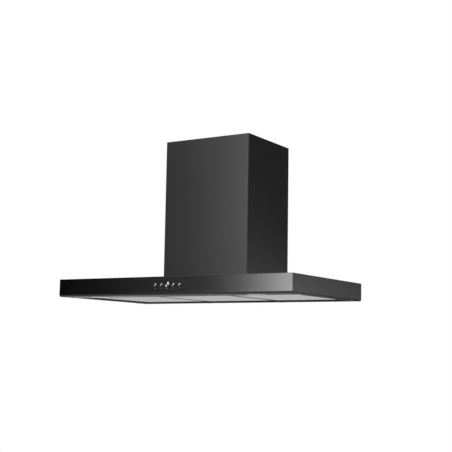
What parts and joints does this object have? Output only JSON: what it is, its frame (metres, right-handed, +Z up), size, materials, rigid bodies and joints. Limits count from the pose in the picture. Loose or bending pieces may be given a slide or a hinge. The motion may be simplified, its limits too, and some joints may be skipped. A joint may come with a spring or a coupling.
{
  "type": "wall chimney cooker hood",
  "caption": "T-shaped wall cooker hood: low wide canopy with a black glass front, push buttons, drop-down mesh filters and lamps, under a telescopic chimney with a fan and damper.",
  "frame": {"origin": "midway between the two wall bolts, on the wall plane", "axes": "+X to the right as seen from the room, +Y into the wall, +Z up the chimney"},
  "size_m": [0.9, 0.5025, 0.5545],
  "materials": {
    "black_paint": "satin black powder coat",
    "black_glass": "gloss black back-painted glass",
    "tape": "black foam bonding tape",
    "zinc_steel": "zinc-plated steel",
    "galvanised_steel": "galvanised sheet",
    "lamp_trim": "plated trim",
    "lamp_lens": "frosted lens",
    "heat_sink": "bare aluminium",
    "shaft_steel": "ground steel",
    "black_plastic": "moulded black plastic",
    "wheel_plastic": "moulded grey plastic",
    "filter_aluminium": "satin aluminium",
    "mesh_aluminium": "expanded aluminium mesh",
    "latch_plastic": "moulded grey plastic",
    "button_chrome": "polished chrome"
  },
  "bodies": {
    "hood": {"canopy_body": "black_paint", "front_glass": "black_glass", "glass_tape": "tape", "bottom_pan": "black_paint", "pan_screws": "zinc_steel", "lamp_bezels": "lamp_trim", "lamp_lenses": "lamp_lens", "lamp_modules": "heat_sink", "switch_block": "black_plastic", "switch_screws": "zinc_steel", "chimney_lower": "black_paint", "chimney_screws": "zinc_steel", "motor_box": "galvanised_steel", "motor_box_screws": "zinc_steel", "cable_gland": "black_plastic", "scroll_right": "black_plastic", "scroll_left": "black_plastic", "motor_housing": "heat_sink", "motor_bracket": "zinc_steel", "motor_screws": "zinc_steel", "outlet_collar": "black_plastic", "outlet_screws": "zinc_steel", "damper_pins": "zinc_steel", "control_box": "black_plastic", "control_lid": "black_plastic"},
    "upper_chimney": {"chimney_upper": "black_paint", "chimney_bracket": "zinc_steel", "bracket_screws": "zinc_steel"},
    "fan_wheel": {"impeller": "wheel_plastic", "motor_shaft": "shaft_steel"},
    "damper_front": {"damper_flap_front": "black_plastic"},
    "damper_rear": {"damper_flap_rear": "black_plastic"},
    "button_light": {"button_light": "button_chrome"},
    "button_low": {"button_low": "button_chrome"},
    "button_power": {"button_power": "button_chrome"},
    "button_medium": {"button_medium": "button_chrome"},
    "button_high": {"button_high": "button_chrome"},
    "filter_left": {"filter_left_frame": "filter_aluminium", "filter_left_mesh": "mesh_aluminium", "filter_left_latch_case": "latch_plastic"},
    "latch_left": {"filter_left_latch": "latch_plastic"},
    "filter_centre": {"filter_centre_frame": "filter_aluminium", "filter_centre_mesh": "mesh_aluminium", "filter_centre_latch_case": "latch_plastic"},
    "latch_centre": {"filter_centre_latch": "latch_plastic"},
    "filter_right": {"filter_right_frame": "filter_aluminium", "filter_right_mesh": "mesh_aluminium", "filter_right_latch_case": "latch_plastic"},
    "latch_right": {"filter_right_latch": "latch_plastic"}
  },
  "joints": [
    {"name": "chimney_slide", "type": "slide", "parent": "hood", "child": "upper_chimney", "axis": [0, 0, 1], "range_m": [0, 0.4]},
    {"name": "fan_spin", "type": "hinge", "parent": "hood", "child": "fan_wheel", "pos_m": [0, -0.1425, 0.134], "axis": [1, 0, 0], "continuous": true},
    {"name": "damper_front_swing", "type": "hinge", "parent": "hood", "child": "damper_front", "pos_m": [0, -0.1045, 0.3015], "axis": [-1, 0, 0], "range_deg": [0, 75]},
    {"name": "damper_rear_swing", "type": "hinge", "parent": "hood", "child": "damper_rear", "pos_m": [0, -0.0955, 0.3015], "axis": [1, 0, 0], "range_deg": [0, 75]},
    {"name": "button_light_press", "type": "slide", "parent": "hood", "child": "button_light", "axis": [0, 1, 0], "range_m": [0, 0.002], "stiffness_N_per_m": 400},
    {"name": "button_low_press", "type": "slide", "parent": "hood", "child": "button_low", "axis": [0, 1, 0], "range_m": [0, 0.002], "stiffness_N_per_m": 400},
    {"name": "button_power_press", "type": "slide", "parent": "hood", "child": "button_power", "axis": [0, 1, 0], "range_m": [0, 0.002], "stiffness_N_per_m": 400},
    {"name": "button_medium_press", "type": "slide", "parent": "hood", "child": "button_medium", "axis": [0, 1, 0], "range_m": [0, 0.002], "stiffness_N_per_m": 400},
    {"name": "button_high_press", "type": "slide", "parent": "hood", "child": "button_high", "axis": [0, 1, 0], "range_m": [0, 0.002], "stiffness_N_per_m": 400},
    {"name": "filter_left_drop", "type": "hinge", "parent": "hood", "child": "filter_left", "pos_m": [-0.28, -0.0304, -0.03], "axis": [1, 0, 0], "range_deg": [0, 60]},
    {"name": "latch_left_pull", "type": "slide", "parent": "filter_left", "child": "latch_left", "axis": [0, 1, 0], "range_m": [0, 0.006], "stiffness_N_per_m": 300},
    {"name": "filter_centre_drop", "type": "hinge", "parent": "hood", "child": "filter_centre", "pos_m": [0, -0.0304, -0.03], "axis": [1, 0, 0], "range_deg": [0, 60]},
    {"name": "latch_centre_pull", "type": "slide", "parent": "filter_centre", "child": "latch_centre", "axis": [0, 1, 0], "range_m": [0, 0.006], "stiffness_N_per_m": 300},
    {"name": "filter_right_drop", "type": "hinge", "parent": "hood", "child": "filter_right", "pos_m": [0.28, -0.0304, -0.03], "axis": [1, 0, 0], "range_deg": [0, 60]},
    {"name": "latch_right_pull", "type": "slide", "parent": "filter_right", "child": "latch_right", "axis": [0, 1, 0], "range_m": [0, 0.006], "stiffness_N_per_m": 300}
  ]
}
